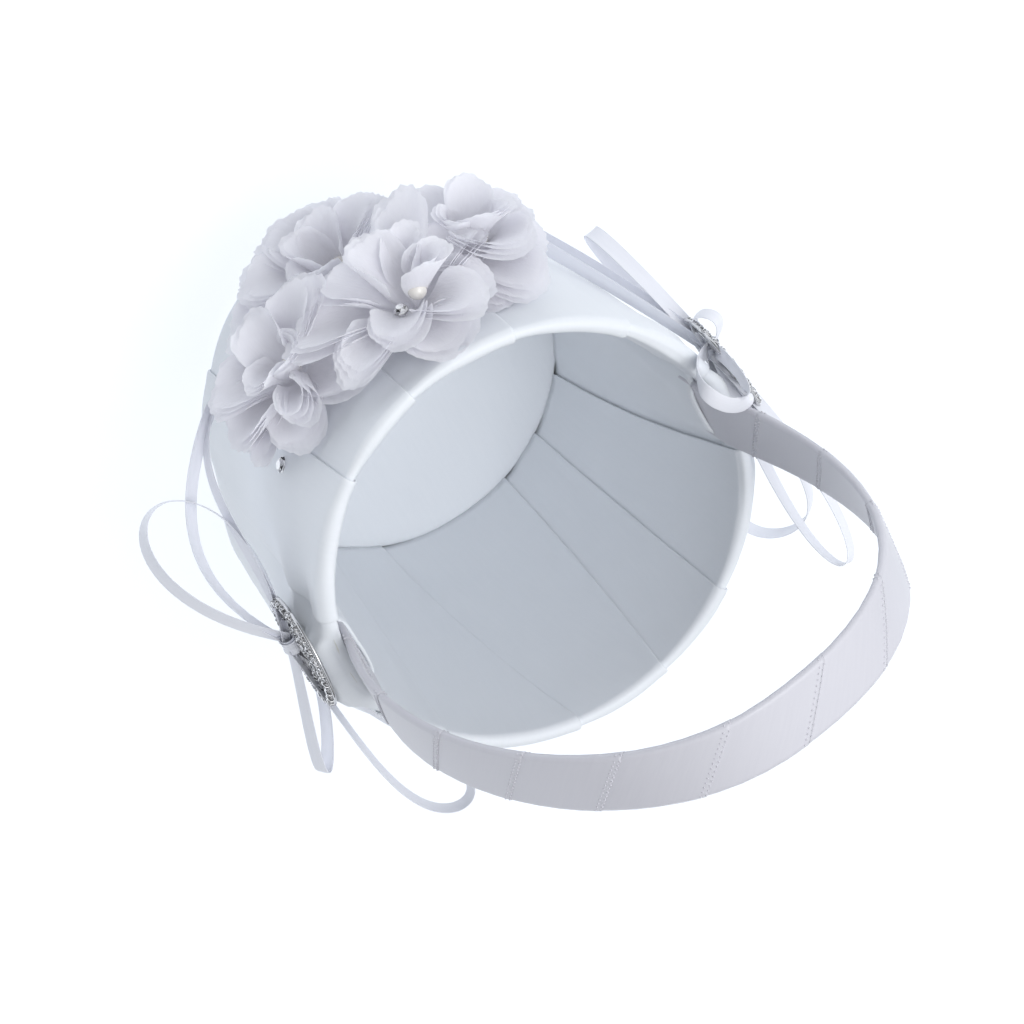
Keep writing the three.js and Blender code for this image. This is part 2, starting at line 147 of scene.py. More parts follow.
def add_mesh(name, surface, material, nodes=(), smooth=True, thickness=0.0):
    """Makes a piece named name that rides on root, in place of the CAD nodes."""
    mesh = bpy.data.meshes.new(name)
    mesh.from_pydata([Vector(point) * MM for point in surface.points], [], surface.faces)
    layer = mesh.uv_layers.new(name="places")
    for loop in mesh.loops:
        layer.data[loop.index].uv = surface.places[loop.vertex_index]
    # The faces' tones, painted reflections on the stones' facets, go into an attribute.
    if any(tone is not None for tone in surface.tones):
        tones = mesh.attributes.new("facet_painted_reflection", "FLOAT", "FACE")
        tones.data.foreach_set("value", [1.0 if tone is None else tone for tone in surface.tones])
    mesh.shade_smooth() if smooth else mesh.shade_flat()
    piece = bpy.data.objects.new(name, mesh)
    bpy.context.scene.collection.objects.link(piece)
    mesh.materials.append(material)
    if thickness:
        shell = piece.modifiers.new("thickness", "SOLIDIFY")
        shell.thickness = thickness * MM
        shell.offset = 0
    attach(piece, "root")
    if nodes:
        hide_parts(*nodes)
    return piece


def turned_rows(profile, steps):
    """Rows of points that turn a profile of (radius, z) about Z."""
    rows = []
    for radius, z in profile:
        angles = [math.tau * i / steps for i in range(steps)]
        rows.append([(radius * math.cos(a), radius * math.sin(a), z) for a in angles])
    return rows


def circle(middle, side, other, radius, count, shift=0.0):
    """Points on a circle round middle, in the plane of side and other."""
    turns = [math.tau * (i + shift) / count for i in range(count)]
    return [middle + (side * math.cos(turn) + other * math.sin(turn)) * radius for turn in turns]


def ease(x):
    """A smooth step from 0 to 1."""
    x = min(max(x, 0.0), 1.0)
    return x * x * (3 - 2 * x)


def bump(x, middle, spread):
    """A smooth hill, 1 high, round middle."""
    return math.exp(-(((x - middle) / spread) ** 2))


def angle_gap(degrees, other):
    """The turn from other to degrees, between -180 and 180."""
    return (degrees - other + 180) % 360 - 180


# ---- Materials ----


def new_material(name, color, roughness, **sockets):
    material = bpy.data.materials.new(name)
    material.use_nodes = True
    shader = material.node_tree.nodes["Principled BSDF"]
    shader.inputs["Base Color"].default_value = (*color, 1)
    shader.inputs["Roughness"].default_value = roughness
    for socket, value in sockets.items():
        shader.inputs[socket.replace("_", " ")].default_value = value
    return material


def add_node(material, kind, **settings):
    node = material.node_tree.nodes.new(kind)
    for key, value in settings.items():
        if hasattr(node, key):
            setattr(node, key, value)
        else:
            node.inputs[key.replace("_", " ")].default_value = value
    return node


def link(material, source, target):
    material.node_tree.links.new(source, target)


def shader_of(material):
    return material.node_tree.nodes["Principled BSDF"]


def vary_color(material, factor, low, high):
    """Colours the surface between two shades by a 0 to 1 factor."""
    ramp = add_node(material, "ShaderNodeValToRGB")
    ramp.color_ramp.elements[0].color = (*low, 1)
    ramp.color_ramp.elements[1].color = (*high, 1)
    link(material, factor, ramp.inputs["Fac"])
    link(material, ramp.outputs["Color"], shader_of(material).inputs["Base Color"])
    return ramp


def scaled_noise(material, coordinates, scale, size, detail=3.0):
    """Noise stretched by scale = (x, y, z) over coordinates."""
    mapping = add_node(material, "ShaderNodeMapping", Scale=scale)
    link(material, coordinates, mapping.inputs["Vector"])
    texture = add_node(material, "ShaderNodeTexNoise", Scale=size, Detail=detail)
    link(material, mapping.outputs["Vector"], texture.inputs["Vector"])
    return texture.outputs["Fac"]


def even_noise(material, size):
    places = add_node(material, "ShaderNodeTexCoord").outputs["Object"]
    return scaled_noise(material, places, (1, 1, 1), size)


def add_bump(material, height, strength, distance, before=None):
    node = add_node(material, "ShaderNodeBump", Strength=strength, Distance=distance)
    link(material, height, node.inputs["Height"])
    if before is not None:
        link(material, before, node.inputs["Normal"])
    link(material, node.outputs["Normal"], shader_of(material).inputs["Normal"])
    return node.outputs["Normal"]


def vary_roughness(material, factor, low, high):
    span = add_node(material, "ShaderNodeMapRange", To_Min=low, To_Max=high)
    link(material, factor, span.inputs["Value"])
    link(material, span.outputs["Result"], shader_of(material).inputs["Roughness"])


def wave(material, coordinates, per_unit, direction):
    texture = add_node(material, "ShaderNodeTexWave", wave_type="BANDS", bands_direction=direction,
                       Scale=per_unit, Distortion=0.6, Detail=1)
    link(material, coordinates, texture.inputs["Vector"])
    return texture.outputs["Fac"]


def satin(name, shade, dark, roughness=0.42):
    """Satin: silky streaks along the warp, a fine weave and a soft sheen. Its UV is in millimetres."""
    material = new_material(name, shade, roughness, Sheen_Weight=0.25, Sheen_Roughness=0.35,
                            Anisotropic=0.35, Specular_IOR_Level=0.45)
    places = add_node(material, "ShaderNodeTexCoord").outputs["UV"]
    streaks = scaled_noise(material, places, (0.9, 0.06, 1), 1.0)
    vary_color(material, streaks, dark, shade)
    vary_roughness(material, streaks, roughness - 0.06, roughness + 0.08)
    weave = wave(material, places, 1.1, "X")
    rough = add_bump(material, weave, 0.05, 0.00006)
    soft = scaled_noise(material, places, (0.09, 0.03, 1), 1.0, 4.0)
    add_bump(material, soft, 0.25, 0.0008, rough)
    return material


def chiffon(name):
    """Crepe chiffon: crinkled, sheer and matt, letting light through, with a faint painted glow from a weak
    emission.
    """
    material = new_material(name, (0.93, 0.93, 0.96), 0.9, Sheen_Weight=0.3, Sheen_Roughness=0.6,
                            Emission_Color=(0.9, 0.9, 0.96, 1), Emission_Strength=0.05)
    places = add_node(material, "ShaderNodeTexCoord").outputs["UV"]
    crinkle = scaled_noise(material, places, (1.6, 0.35, 1), 1.0, 5.0)
    ramp = vary_color(material, crinkle, (0.92, 0.918, 0.95), (0.97, 0.968, 0.985))
    add_bump(material, crinkle, 0.5, 0.0004)
    glow = add_node(material, "ShaderNodeBsdfTranslucent")
    link(material, ramp.outputs["Color"], glow.inputs["Color"])
    mix = add_node(material, "ShaderNodeMixShader", Fac=0.5)
    link(material, shader_of(material).outputs["BSDF"], mix.inputs[1])
    link(material, glow.outputs["BSDF"], mix.inputs[2])
    output = material.node_tree.nodes["Material Output"]
    link(material, mix.outputs["Shader"], output.inputs["Surface"])
    return material


def metal(name, color, roughness):
    material = new_material(name, color, roughness, Metallic=1.0)
    tarnish = even_noise(material, 900)
    vary_color(material, tarnish, tuple(0.7 * c for c in color), color)
    vary_roughness(material, tarnish, roughness * 0.7, roughness * 1.5)
    return material


def crystal():
    """A foil-backed cut stone whose facets carry painted reflections: each facet has its own tone, near
    black to white, standing in for the glints it would mirror.
    """
    material = new_material("cut_crystal", (0.9, 0.92, 0.95), 0.04, Metallic=0.55, Coat_Weight=1.0,
                            Coat_Roughness=0.02)
    facet = add_node(material, "ShaderNodeAttribute", attribute_name="facet_painted_reflection").outputs["Fac"]
    vary_color(material, facet, (0.02, 0.02, 0.025), (0.98, 0.98, 1.0))
    return material


def pearl():
    material = new_material("pearl", (0.86, 0.83, 0.78), 0.22, Coat_Weight=0.7, Sheen_Weight=0.3,
                            Coat_Roughness=0.08)
    vary_color(material, even_noise(material, 350), (0.8, 0.76, 0.7), (0.9, 0.88, 0.84))
    return material


def plastic(name, color, roughness):
    material = new_material(name, color, roughness)
    grain = even_noise(material, 600)
    vary_color(material, grain, tuple(0.94 * c for c in color), color)
    add_bump(material, grain, 0.2, 0.0001)
    return material


SATIN = satin("body_satin", (0.84, 0.865, 0.9), (0.805, 0.835, 0.875))
# The handle's satin is painted darker than the body's: painted shade for the shade that falls on the
# handle's faces.
SHADED_HANDLE_SATIN = satin("handle_satin", (0.65, 0.645, 0.69), (0.61, 0.605, 0.655), 0.38)
RIBBON = satin("ribbon_satin", (0.86, 0.87, 0.92), (0.8, 0.81, 0.87), 0.36)
CHIFFON = chiffon("chiffon")
SILVER = metal("silver", (0.74, 0.74, 0.75), 0.2)
STEEL = metal("steel", (0.55, 0.56, 0.58), 0.35)
CRYSTAL = crystal()
PEARL = pearl()
BOARD = plastic("board", (0.74, 0.74, 0.71), 0.8)
STRIP = plastic("strip_plastic", (0.86, 0.86, 0.84), 0.5)

# ---- Satin body ----

# Each pleat: its bearing at the rim, how far it has turned at the base outside and at the floor
# inside, and which neighbour lies on top, the one of lower or of higher bearing.
PLEATS = [
    (16, 0, 0, "high"),
    (36, 2, 3, "low"),
    (75.5, -4, -16, "low"),
    (102, 3, 6, "low"),
    (127.5, -3, -2, "low"),
    (168, 2, -22, "low"),
    (194, -2, 4, "high"),
    (221, 3, 0, "high"),
    (252, -3, 0, "high"),
    (281, 4, 2, "high"),
    (306, 14, 3, "high"),
    (344, 0, 0, "low"),
]
# The panels at the handle's ends, with the lining that takes over inside and its bearing.
HANDLE_ZONES = {5: ("lining_panel_left", 180), 11: ("lining_panel_right", 0)}
TUCK = 7  # how far a panel runs on under its neighbour
FOLD_LIFT = 0.95
HOOK_DEPTH = 10  # how far those panels run down inside the rim
SATIN_CORNER = 1.5  # radius of the satin's turn at the base
SATIN_THICKNESS = 0.18
PANEL_SHARES = 12  # columns between a panel's folds
PANEL_CROWN = 0.35
PULL_DEPTH = 14  # below the rim, where the satin is caught at each handle end
PULLS = ((0, 1.0), (180, 0.7))  # bearing and strength of the folds that spread from there
PULL_SIDE = 18
LOOSE_PUFF = 10.5  # the satin stands off the shell beside the right handle end
LOOSE_BEARING = 18
SAG_BEARING = 212  # the inside wall's slack near the left handle end
LEDGE_HALF = 9  # half the width of the ledge over the right handle end
LEDGE_OUT = 5.0
LEDGE_RIM = 2.5
LEDGE_DROP = 2.6
LINING_TOP = 7  # below the rim
LINING_TUCK = 6  # degrees that the lining runs on under its neighbours
LINING_DEPTH = 1.4  # inward of the wall at its sides
LINING_BOW = 3.9  # and how much more at its middle


def wall_rows(innermost):
    """The satin's path from under the base to the innermost height: (radius, z, normal, side)."""
    slope = (RIM_RADIUS - BASE_RADIUS) / RIM_Z
    out = Vector((1, -slope)).normalized()
    rows = []
    corner_z = SATIN_FOLD + SATIN_CORNER
    corner_radius = wall_radius(corner_z) - SATIN_CORNER
    for step in range(4):
        rows.append((COVER_RADIUS - FOLD_UNDER + 3.5 * step, SATIN_FOLD, Vector((0, -1)), "under"))
    for step in range(1, 5):
        angle = math.radians(-90 + 22.5 * step)
        turn = Vector((math.cos(angle), math.sin(angle)))
        rows.append((corner_radius + SATIN_CORNER * turn.x, corner_z + SATIN_CORNER * turn.y, turn, "out"))
    roll_z = RIM_Z - RIM_ROLL
    roll_radius = wall_radius(roll_z) - RIM_ROLL
    for step in range(1, 30):
        z = corner_z + (roll_z - corner_z) * step / 30
        rows.append((wall_radius(z), z, out, "out"))
    for step in range(0, 13):
        angle = math.radians(15 * step)
        turn = Vector((math.cos(angle), math.sin(angle)))
        side = "out" if step < 5 else "rim" if step < 9 else "in"
        rows.append((roll_radius + RIM_ROLL * turn.x, roll_z + RIM_ROLL * turn.y, turn, side))
    steps = max(4, int((roll_z - innermost) / 3.5))
    for step in range(1, steps + 1):
        z = roll_z + (innermost - roll_z) * step / steps
        rows.append((wall_radius(z) - LINING_INSET, z, -out, "in"))
    return rows


def pleat_bearing(index, z, side):
    """A pleat's bearing at a height, outside or inside."""
    rim, turn_out, turn_in, _ = PLEATS[index % len(PLEATS)]
    depth = (RIM_Z - z) / RIM_Z
    if side == "in":
        return rim + turn_in * depth + 0.12 * turn_in * math.sin(math.pi * depth)
    return rim + turn_out * depth


def edge_columns(on_top):
    """Columns at a panel's edge, outermost first: (distance into the panel, lift)."""
    if on_top:
        low = FOLD_LIFT * 0.45
        under = [(4.0, low - 0.1), (1.2, low - 0.05), (0.35, low), (0.05, 0.62 * FOLD_LIFT)]
        over = [(0.12, 0.93 * FOLD_LIFT), (0.5, FOLD_LIFT), (1.5, 1.02 * FOLD_LIFT), (4.0, 0.9 * FOLD_LIFT)]
        return under + [(0.0, 0.8 * FOLD_LIFT)] + over
    return [(-TUCK, -0.1), (-3.0, 0.0), (-1.0, 0.05), (0.6, 0.1), (2.5, 0.18)]


def relief(bearing, z, side, point):
    """Soft folds and puffs of the satin, outward along its surface."""
    height = 0.35 * noise.noise(Vector(point) / 22) + 0.12 * noise.noise(Vector(point) / 8)
    for handle_bearing, strength in PULLS:
        across = math.radians(angle_gap(bearing, handle_bearing)) * RIM_RADIUS
        down = RIM_Z - PULL_DEPTH - z
        distance = math.hypot(across, down)
        turn = math.atan2(down, across)
        rays = math.sin(7 * turn + 1.3) * bump(distance, 21, 13)
        if side != "in":
            height += strength * (rays + 1.4 * bump(distance, 0, 24))
            beside = bump(across, PULL_SIDE if handle_bearing else -PULL_SIDE, 14)
            height += strength * 0.5 * math.sin(0.33 * across + 0.05 * z) * beside
    if side == "out":
        beside = bump(angle_gap(bearing, LOOSE_BEARING), 0, 26)
        height += LOOSE_PUFF * beside * ease(z / 22) * (1 - ease((z - 88) / 26))
    if side == "in":
        near = bump(angle_gap(bearing, SAG_BEARING), 0, 22) * bump(z, RIM_Z - 22, 20)
        height += near * (2.2 + 0.7 * math.sin(0.35 * z + 0.06 * bearing))
    return height


def panel_point(row, bearing, lift):
    """A point of the satin at a bearing, lifted off the path that row belongs to."""
    radius, z, normal, side = row
    angle = math.radians(bearing)
    lift += relief(bearing, z, side, (radius * math.cos(angle), radius * math.sin(angle), z))
    radius += normal.x * lift
    z += normal.y * lift
    if side != "under":
        across = abs(math.radians(angle_gap(bearing, 0)) * RIM_RADIUS)
        ledge = (1 - ease((across - LEDGE_HALF) / 7)) * bump(min(z, RIM_Z), RIM_Z, 14)
        if side == "out":
            radius += LEDGE_OUT * ledge
        elif side == "rim":
            radius += LEDGE_RIM * ledge
        z -= LEDGE_DROP * ledge * (side != "in")
    return (radius * math.cos(angle), radius * math.sin(angle), z)


def satin_panel(index):
    """One panel, from under the base to the inside floor, and its length."""
    innermost = RIM_Z - HOOK_DEPTH if index in HANDLE_ZONES else PAD_LOW.z + PAD_CLEAR
    rows = wall_rows(innermost)
    start = edge_columns(PLEATS[index][3] == "high")
    end = edge_columns(PLEATS[(index + 1) % len(PLEATS)][3] == "low")
    inner_start, start_lift = start[-1]
    inner_end, end_lift = end[-1]
    surface = Surface()
    grid = []
    places = []
    length = 0.0
    for number, row in enumerate(rows):
        radius, z, _, side = row
        if number:
            length += math.hypot(radius - rows[number - 1][0], z - rows[number - 1][1])
        low = pleat_bearing(index, z, side)
        high = pleat_bearing(index + 1, z, side)
        if high < low:
            high += 360
        span = math.radians(high - low) * radius
        columns = list(start)
        for step in range(1, PANEL_SHARES):
            share = step / PANEL_SHARES
            distance = inner_start + (span - inner_start - inner_end) * share
            crown = PANEL_CROWN * math.sin(math.pi * share)
            columns.append((distance, start_lift + (end_lift - start_lift) * ease(share) + crown))
        columns += [(span - distance, lift) for distance, lift in reversed(end)]
        bearings = [low + math.degrees(distance / radius) for distance, _ in columns]
        grid.append([panel_point(row, bearing, lift) for bearing, (_, lift) in zip(bearings, columns)])
        places.append([(distance, length) for distance, _ in columns])
    surface.add_grid(grid, places)
    return surface, length


def add_satin_panels():
    for index in range(len(PLEATS)):
        name = f"satin_panel_{index + 1:02d}"
        surface, length = satin_panel(index)
        piece = add_mesh("visual_" + name, surface, SATIN, [name], thickness=SATIN_THICKNESS)


def lining_panel(index, middle):
    """The loose lining at a handle end, bowed in round the strip's end, with a hemmed top edge."""
    surface = Surface()
    top = RIM_Z - LINING_TOP
    bottom = PAD_LOW.z + PAD_CLEAR
    steps = 34
    grid = []
    places = []
    for row in range(-2, steps + 1):
        share = max(row, 0) / steps
        z = top + (bottom - top) * share
        hem = {-2: (1.2, -2.0), -1: (0.9, 0.25)}.get(row, (0.0, 0.0))
        low = pleat_bearing(index, z, "in") - LINING_TUCK
        high = pleat_bearing(index + 1, z, "in") + LINING_TUCK
        if high < low:
            high += 360
        line = []
        place = []
        for column in range(25):
            bearing = low + (high - low) * column / 24
            bow = math.cos(math.radians(min(abs(angle_gap(bearing, middle)) / 24, 1) * 90)) ** 2
            clear = ease((min(bearing - low, high - bearing) - LINING_TUCK) / 8)
            depth = LINING_DEPTH + LINING_BOW * bow * (1 - 0.75 * ease(share * 1.3 - 0.3))
            depth = clear * (depth + 0.4 * noise.noise(Vector((bearing / 9, z / 14, middle)))) - 0.25
            angle = math.radians(bearing)
            radius = wall_radius(z) - LINING_INSET
            wall = (radius * math.cos(angle), radius * math.sin(angle), z)
            radius -= depth + relief(bearing, z, "in", wall) - hem[0]
            line.append((radius * math.cos(angle), radius * math.sin(angle), z + hem[1]))
            place.append((angle * radius, z))
        grid.append(line)
        places.append(place)
    surface.add_grid(grid, places)
    return surface, top - PAD_LOW.z


def add_linings():
    for index, (node, middle) in HANDLE_ZONES.items():
        surface, length = lining_panel(index, middle)
        piece = add_mesh("visual_" + node, surface, SATIN, [node], thickness=SATIN_THICKNESS)


def add_disc(node, radius, low, high, crown):
    """A satin-covered disc with a rounded edge and a slight crown."""
    round_edge = min(0.6, (high - low) / 2)
    profile = [(0.01, low), (radius * 0.5, low), (radius - round_edge, low)]
    for step in range(1, 8):
        angle = math.radians(-90 + 180 * step / 8)
        z = (low + high) / 2 + (high - low) / 2 * math.sin(angle)
        profile.append((radius - round_edge + round_edge * math.cos(angle), z))
    for share in (0.97, 0.9, 0.75, 0.6, 0.45, 0.3, 0.15, 0.0002):
        profile.append((radius * share, high + crown * (1 - share * share)))
    rows = turned_rows(profile, 96)
    surface = Surface()
    for row in rows:
        for i, (x, y, z) in enumerate(row):
            lift = 0.22 * noise.noise(Vector((x, y, 7)) / 16) if z > high - 0.01 else 0
            row[i] = (x, y, z + lift)
    surface.add_grid(rows, [[(x, y) for x, y, _ in row] for row in rows], closed=True)
    piece = add_mesh("visual_" + node, surface, SATIN, [node])


# ---- Handle ----

# The arch leans a little to -X. Its curves are in (x, rise above the rim).
HANDLE_FOOT_X = 64.05
HANDLE_CROWN = (-9.8, 129.8)
HANDLE_CURVES = [
    [(HANDLE_FOOT_X, 0), (80.6, 52.7), (38.6, 129.8), HANDLE_CROWN],
    [HANDLE_CROWN, (-84.2, 129.8), (-80.4, 60.9), (-HANDLE_FOOT_X, 0)],
]
TAB_DEPTH = 38  # of the strip's ends inside the wall
TAB_SLOPE = 0.0731
STRIP_THICKNESS = 2.4
STRIP_WIDTH = 23.4
CROWN_WIDTH = 21.5
WRAP_PITCH = 31.0
WRAP_OVERLAP = 3.4
FIRST_SEAM = 25.5  # along the outer face from the right rim to the middle of the first seam
OUTER_FACE = 0.725  # share of a turn round the strip at the middle of its outer face
STEPS_PER_TURN = 60
PICOTS_PER_TURN = 30
PICOT_RADIUS = 0.34
WRAP_INSET = 0.7  # the ribbon's path is this much slimmer than the strip
WRAP_THICKNESS = 0.1


def bezier(points, t):
    a, b, c, d = (Vector(p) for p in points)
    return a * (1 - t) ** 3 + 3 * b * t * (1 - t) ** 2 + 3 * c * t * t * (1 - t) + d * t**3


def handle_line():
    """Points (x, z) along the strip's middle from the right tab's end to the left one's, and lengths."""
    points = []
    for step in range(12):
        depth = TAB_DEPTH * (1 - step / 12)
        points.append(Vector((HANDLE_FOOT_X - TAB_SLOPE * depth, RIM_Z - depth)))
    for curve in HANDLE_CURVES:
        for step in range(120):
            x, rise = bezier(curve, step / 120)
            points.append(Vector((x, RIM_Z + rise)))
    for step in range(13):
        depth = TAB_DEPTH * step / 12
        points.append(Vector((-HANDLE_FOOT_X + TAB_SLOPE * depth, RIM_Z - depth)))
    for _ in range(3):
        smooth = [(points[i - 1] + 2 * points[i] + points[i + 1]) / 4 for i in range(1, len(points) - 1)]
        points[1:-1] = smooth
    lengths = [0.0]
    for before, after in zip(points, points[1:]):
        lengths.append(lengths[-1] + (after - before).length)
    return points, lengths


HANDLE_POINTS, HANDLE_LENGTHS = handle_line()
HANDLE_LENGTH = HANDLE_LENGTHS[-1]
HANDLE_ARRAY = np.array([(p.x, p.y) for p in HANDLE_POINTS])


def on_handle(along):
    """The strip's middle and its direction at a distance from the right tab's end."""
    along = min(max(along, 0.0), HANDLE_LENGTH)
    x, z = (float(np.interp(along, HANDLE_LENGTHS, HANDLE_ARRAY[:, i])) for i in (0, 1))
    ahead = min(along + 1.5, HANDLE_LENGTH)
    behind = max(along - 1.5, 0)
    dx, dz = (float(np.interp(ahead, HANDLE_LENGTHS, HANDLE_ARRAY[:, i])
                    - np.interp(behind, HANDLE_LENGTHS, HANDLE_ARRAY[:, i])) for i in (0, 1))
    size = math.hypot(dx, dz)
    return Vector((x, 0, z)), Vector((dx / size, 0, dz / size))


def strip_section(share, width, thickness):
    """A point on the strip's outline, as (y, inward), by share of a turn."""
    share %= 1.0
    radius = thickness / 2
    flat = width / 2 - radius
    end = 0.05
    straight = 0.5 - end
    if share < straight:
        return flat - 2 * flat * share / straight, radius
    if share < 0.5:
        angle = math.pi * (share - straight) / end
        return -flat - radius * math.sin(angle), radius * math.cos(angle)
    if share < 0.5 + straight:
        return -flat + 2 * flat * (share - 0.5) / straight, -radius
    angle = math.pi * (share - 0.5 - straight) / end
    return flat + radius * math.sin(angle), -radius * math.cos(angle)


def on_strip(along, turn, lift):
    """A point round the strip, by distance along it and share of a turn round it."""
    middle, ahead = on_handle(along)
    inward = Vector((-ahead.z, 0, ahead.x))
    rise = ease((middle.z - RIM_Z) / (HANDLE_TOP - RIM_Z))
    width = STRIP_WIDTH + (CROWN_WIDTH - STRIP_WIDTH) * rise
    y, depth = strip_section(turn, width - WRAP_INSET + 2 * lift, STRIP_THICKNESS - WRAP_INSET + 2 * lift)
    return middle + inward * depth - Vector((0, y, 0))


def wound_ribbon(surface, picots):
    """A ribbon wound round the strip, each turn lapping over the edge of the one before."""
    first = TAB_DEPTH + FIRST_SEAM - (2 + OUTER_FACE) * WRAP_PITCH
    turns = (HANDLE_LENGTH - first) / WRAP_PITCH + 1
    across = [0.0, 0.06, 0.2, 0.4, 0.6, 0.8, 0.9, 0.97, 1.0]
    reach = WRAP_PITCH + WRAP_OVERLAP
    rows = []
    places = []
    for number in range(int(turns * STEPS_PER_TURN) + 1):
        share = number / STEPS_PER_TURN
        line = []
        for part in across:
            along = min(max(first + WRAP_PITCH * share + reach * (part - 1), 0.0), HANDLE_LENGTH)
            puff = 0.05 * noise.noise(Vector((along / 9, share * 3, 2)))
            line.append(tuple(on_strip(along, share, 0.2 + 0.17 * part + puff)))
        rows.append(line)
        places.append([(part * reach, share * 52) for part in across])
    surface.add_grid(rows, places)
    for number in range(int(turns * PICOTS_PER_TURN)):
        share = number / PICOTS_PER_TURN
        for back in (0.15, 1.75):
            along = first + WRAP_PITCH * share - back
            if 3 < along < HANDLE_LENGTH - 3:
                picots.append(on_strip(along, share, 0.4))


def add_bead(surface, place, radius):
    """A small round stitch."""
    ring = [(math.cos(math.tau * i / 6), math.sin(math.tau * i / 6)) for i in range(6)]
    points = [tuple(place + Vector((0, 0, -radius)))]
    for z in (-0.5, 0.5):
        points += [tuple(place + Vector((0.86 * x, 0.86 * y, z)) * radius) for x, y in ring]
    points.append(tuple(place + Vector((0, 0, radius))))
    faces = [[0, 1 + (i + 1) % 6, 1 + i] for i in range(6)]
    faces += [[1 + i, 1 + (i + 1) % 6, 7 + (i + 1) % 6, 7 + i] for i in range(6)]
    faces += [[7 + i, 7 + (i + 1) % 6, 13] for i in range(6)]
    surface.add(points, faces)


def add_handle_wrap():
    surface = Surface()
    picots = []
    wound_ribbon(surface, picots)
    piece = add_mesh("visual_handle_wrap", surface, SHADED_HANDLE_SATIN, ["handle_wrap"],
                     thickness=WRAP_THICKNESS)
    stitches = Surface()
    for place in picots:
        add_bead(stitches, place, PICOT_RADIUS)
    add_mesh("visual_handle_stitches", stitches, SHADED_HANDLE_SATIN)


# ---- Bows ----

RIBBON_WIDTH = 5.0
RIBBON_THICKNESS = 0.22
RIBBON_CROWN = 0.22
RIBBON_COLUMNS = (-1, -0.93, -0.5, 0, 0.5, 0.93, 1)
KNOT_REACH = 1.5
KNOT_HALF = 2.4  # half the knot's length
KNOTS = {
    "right": Vector((78, -9, 103.5)),
    "left": Vector((-75.5, -11, 103)),
}

# Each loop: its tip from the knot, the way its ribbon faces, how wide it opens, where it is widest
# (near the knot above 0, near the tip below 0), the turn of its tip about its own length, the turn of
# the ribbon about its run, and how far its middle bows aside.
LOOPS = {
    "right": [
        ((10.6, -40.2, -38.9), (-0.07, -0.7, 0.71), -27.5, 0, -11, 22, (-0.8, 2.6, 3.6)),
        ((-22, -48, -56), (0.13, -0.58, 0.8), 44, 2, 0, 30, (10, -5, -5)),
        ((11.8, 43, 4.5), (0.2, 0.12, -0.96), 6, 0, 20, 0, (-4.5, -5, -3)),
        ((-18, 65, 27), (0.13, -0.58, 0.8), 19, -1, 0, 20, (3.4, 1, 0.2)),
    ],
    "left": [
        ((7.5, -30.5, -43), (0.91, -0.24, 0.35), -10, 0, 17, 0, (0.6, 1, 0.7)),
        ((9.5, -3, 34.6), (-0.3, -0.9, 0.24), 11, 0, 0, 0, (3.5, -10, 8.6)),
        ((4.2, 57, 50), (0.91, -0.33, 0.23), -15.1, 0, 32, 0, (-0.7, -4.8, -4.4)),
        ((8.9, 68, 5), (0.85, -0.19, 0.49), 26.5, 0, 16, 0, (-1.2, 3.7, 2.7)),
        ((28.7, -43.2, -67.4), (-0.29, -0.85, 0.43), 2.4, 0, -21, 0, (-1.5, -0.5, 2)),
        ((-2.8, -11.9, 0), (0.64, -0.45, 0.62), 7, 0, 0, 0, (0, 0, 0)),
    ],
}


def ribbon_strip(middles, widths, normals):
    """A flat ribbon along middles, slightly crowned, with its width along widths."""
    surface = Surface()
    rows = []
    places = []
    length = 0.0
    for i, (middle, wide, normal) in enumerate(zip(middles, widths, normals)):
        if i:
            length += (middle - middles[i - 1]).length
        rows.append([
            tuple(middle + wide * (part * RIBBON_WIDTH / 2) + normal * (RIBBON_CROWN * (1 - part * part)))
            for part in RIBBON_COLUMNS
        ])
        places.append([(part * RIBBON_WIDTH / 2, length) for part in RIBBON_COLUMNS])
    surface.add_grid(rows, places)
    return surface


def ribbon_loop(side, tip, facing, opening, skew, twist, roll, bow):
    """A ribbon that leaves the knot, turns at its tip and comes back."""
    tip = Vector(tip)
    bow = Vector(bow)
    reach = tip.length
    along = tip.normalized()
    face = Vector(facing)
    face = (face - along * face.dot(along)).normalized()
    across = along.cross(face)
    steps = 56
    middles = []
    faces = []
    for step in range(steps + 1):
        turn = math.pi * step / steps
        out = KNOT_REACH + (reach - KNOT_REACH) * math.sin(turn)
        share = out / reach
        weight = (1 - share) ** skew if skew > 0 else share**-skew
        offset = opening / 2 * math.sin(2 * turn) * weight + 0.9 * math.cos(turn)
        swing = math.radians(twist) * share
        sideways = across * math.cos(swing) + face * math.sin(swing)
        middles.append(KNOTS[side] + along * out + sideways * offset + bow * 4 * share * (1 - share))
        faces.append(face * math.cos(swing) - across * math.sin(swing))
    normals = []
    lean = math.radians(roll)
    for i in range(steps + 1):
        ahead = (middles[min(i + 1, steps)] - middles[max(i - 1, 0)]).normalized()
        face = (faces[i] - ahead * faces[i].dot(ahead)).normalized()
        faces[i] = face * math.cos(lean) + ahead.cross(face) * math.sin(lean)
        normals.append(ahead.cross(faces[i]))
    return ribbon_strip(middles, faces, normals)


def knot_surface(side):
    """The ribbon wound round the bow's middle, pulled in at its waist, with creases along it."""
    outward = 1 if side == "right" else -1
    middle = KNOTS[side]
    surface = Surface()
    steps = 28
    for number, (size, lean) in enumerate(((1.0, 0.15), (1.14, -0.25))):
        rows = []
        for step in range(steps + 1):
            angle = math.tau * step / steps
            line = []
            for column in range(11):
                part = column / 5 - 1
                crease = 0.2 * math.cos(8 * part + number) * (1 - part * part)
                x = (2.0 + crease) * size * (1 + 0.2 * part * part) * math.cos(angle)
                z = (2.6 + crease) * size * (1 + 0.15 * part * part) * math.sin(angle)
                y = KNOT_HALF * part
                line.append((middle.x + outward * x, middle.y + y, middle.z + z + lean * y))
            rows.append(line)
        surface.add_grid(rows)
    return surface


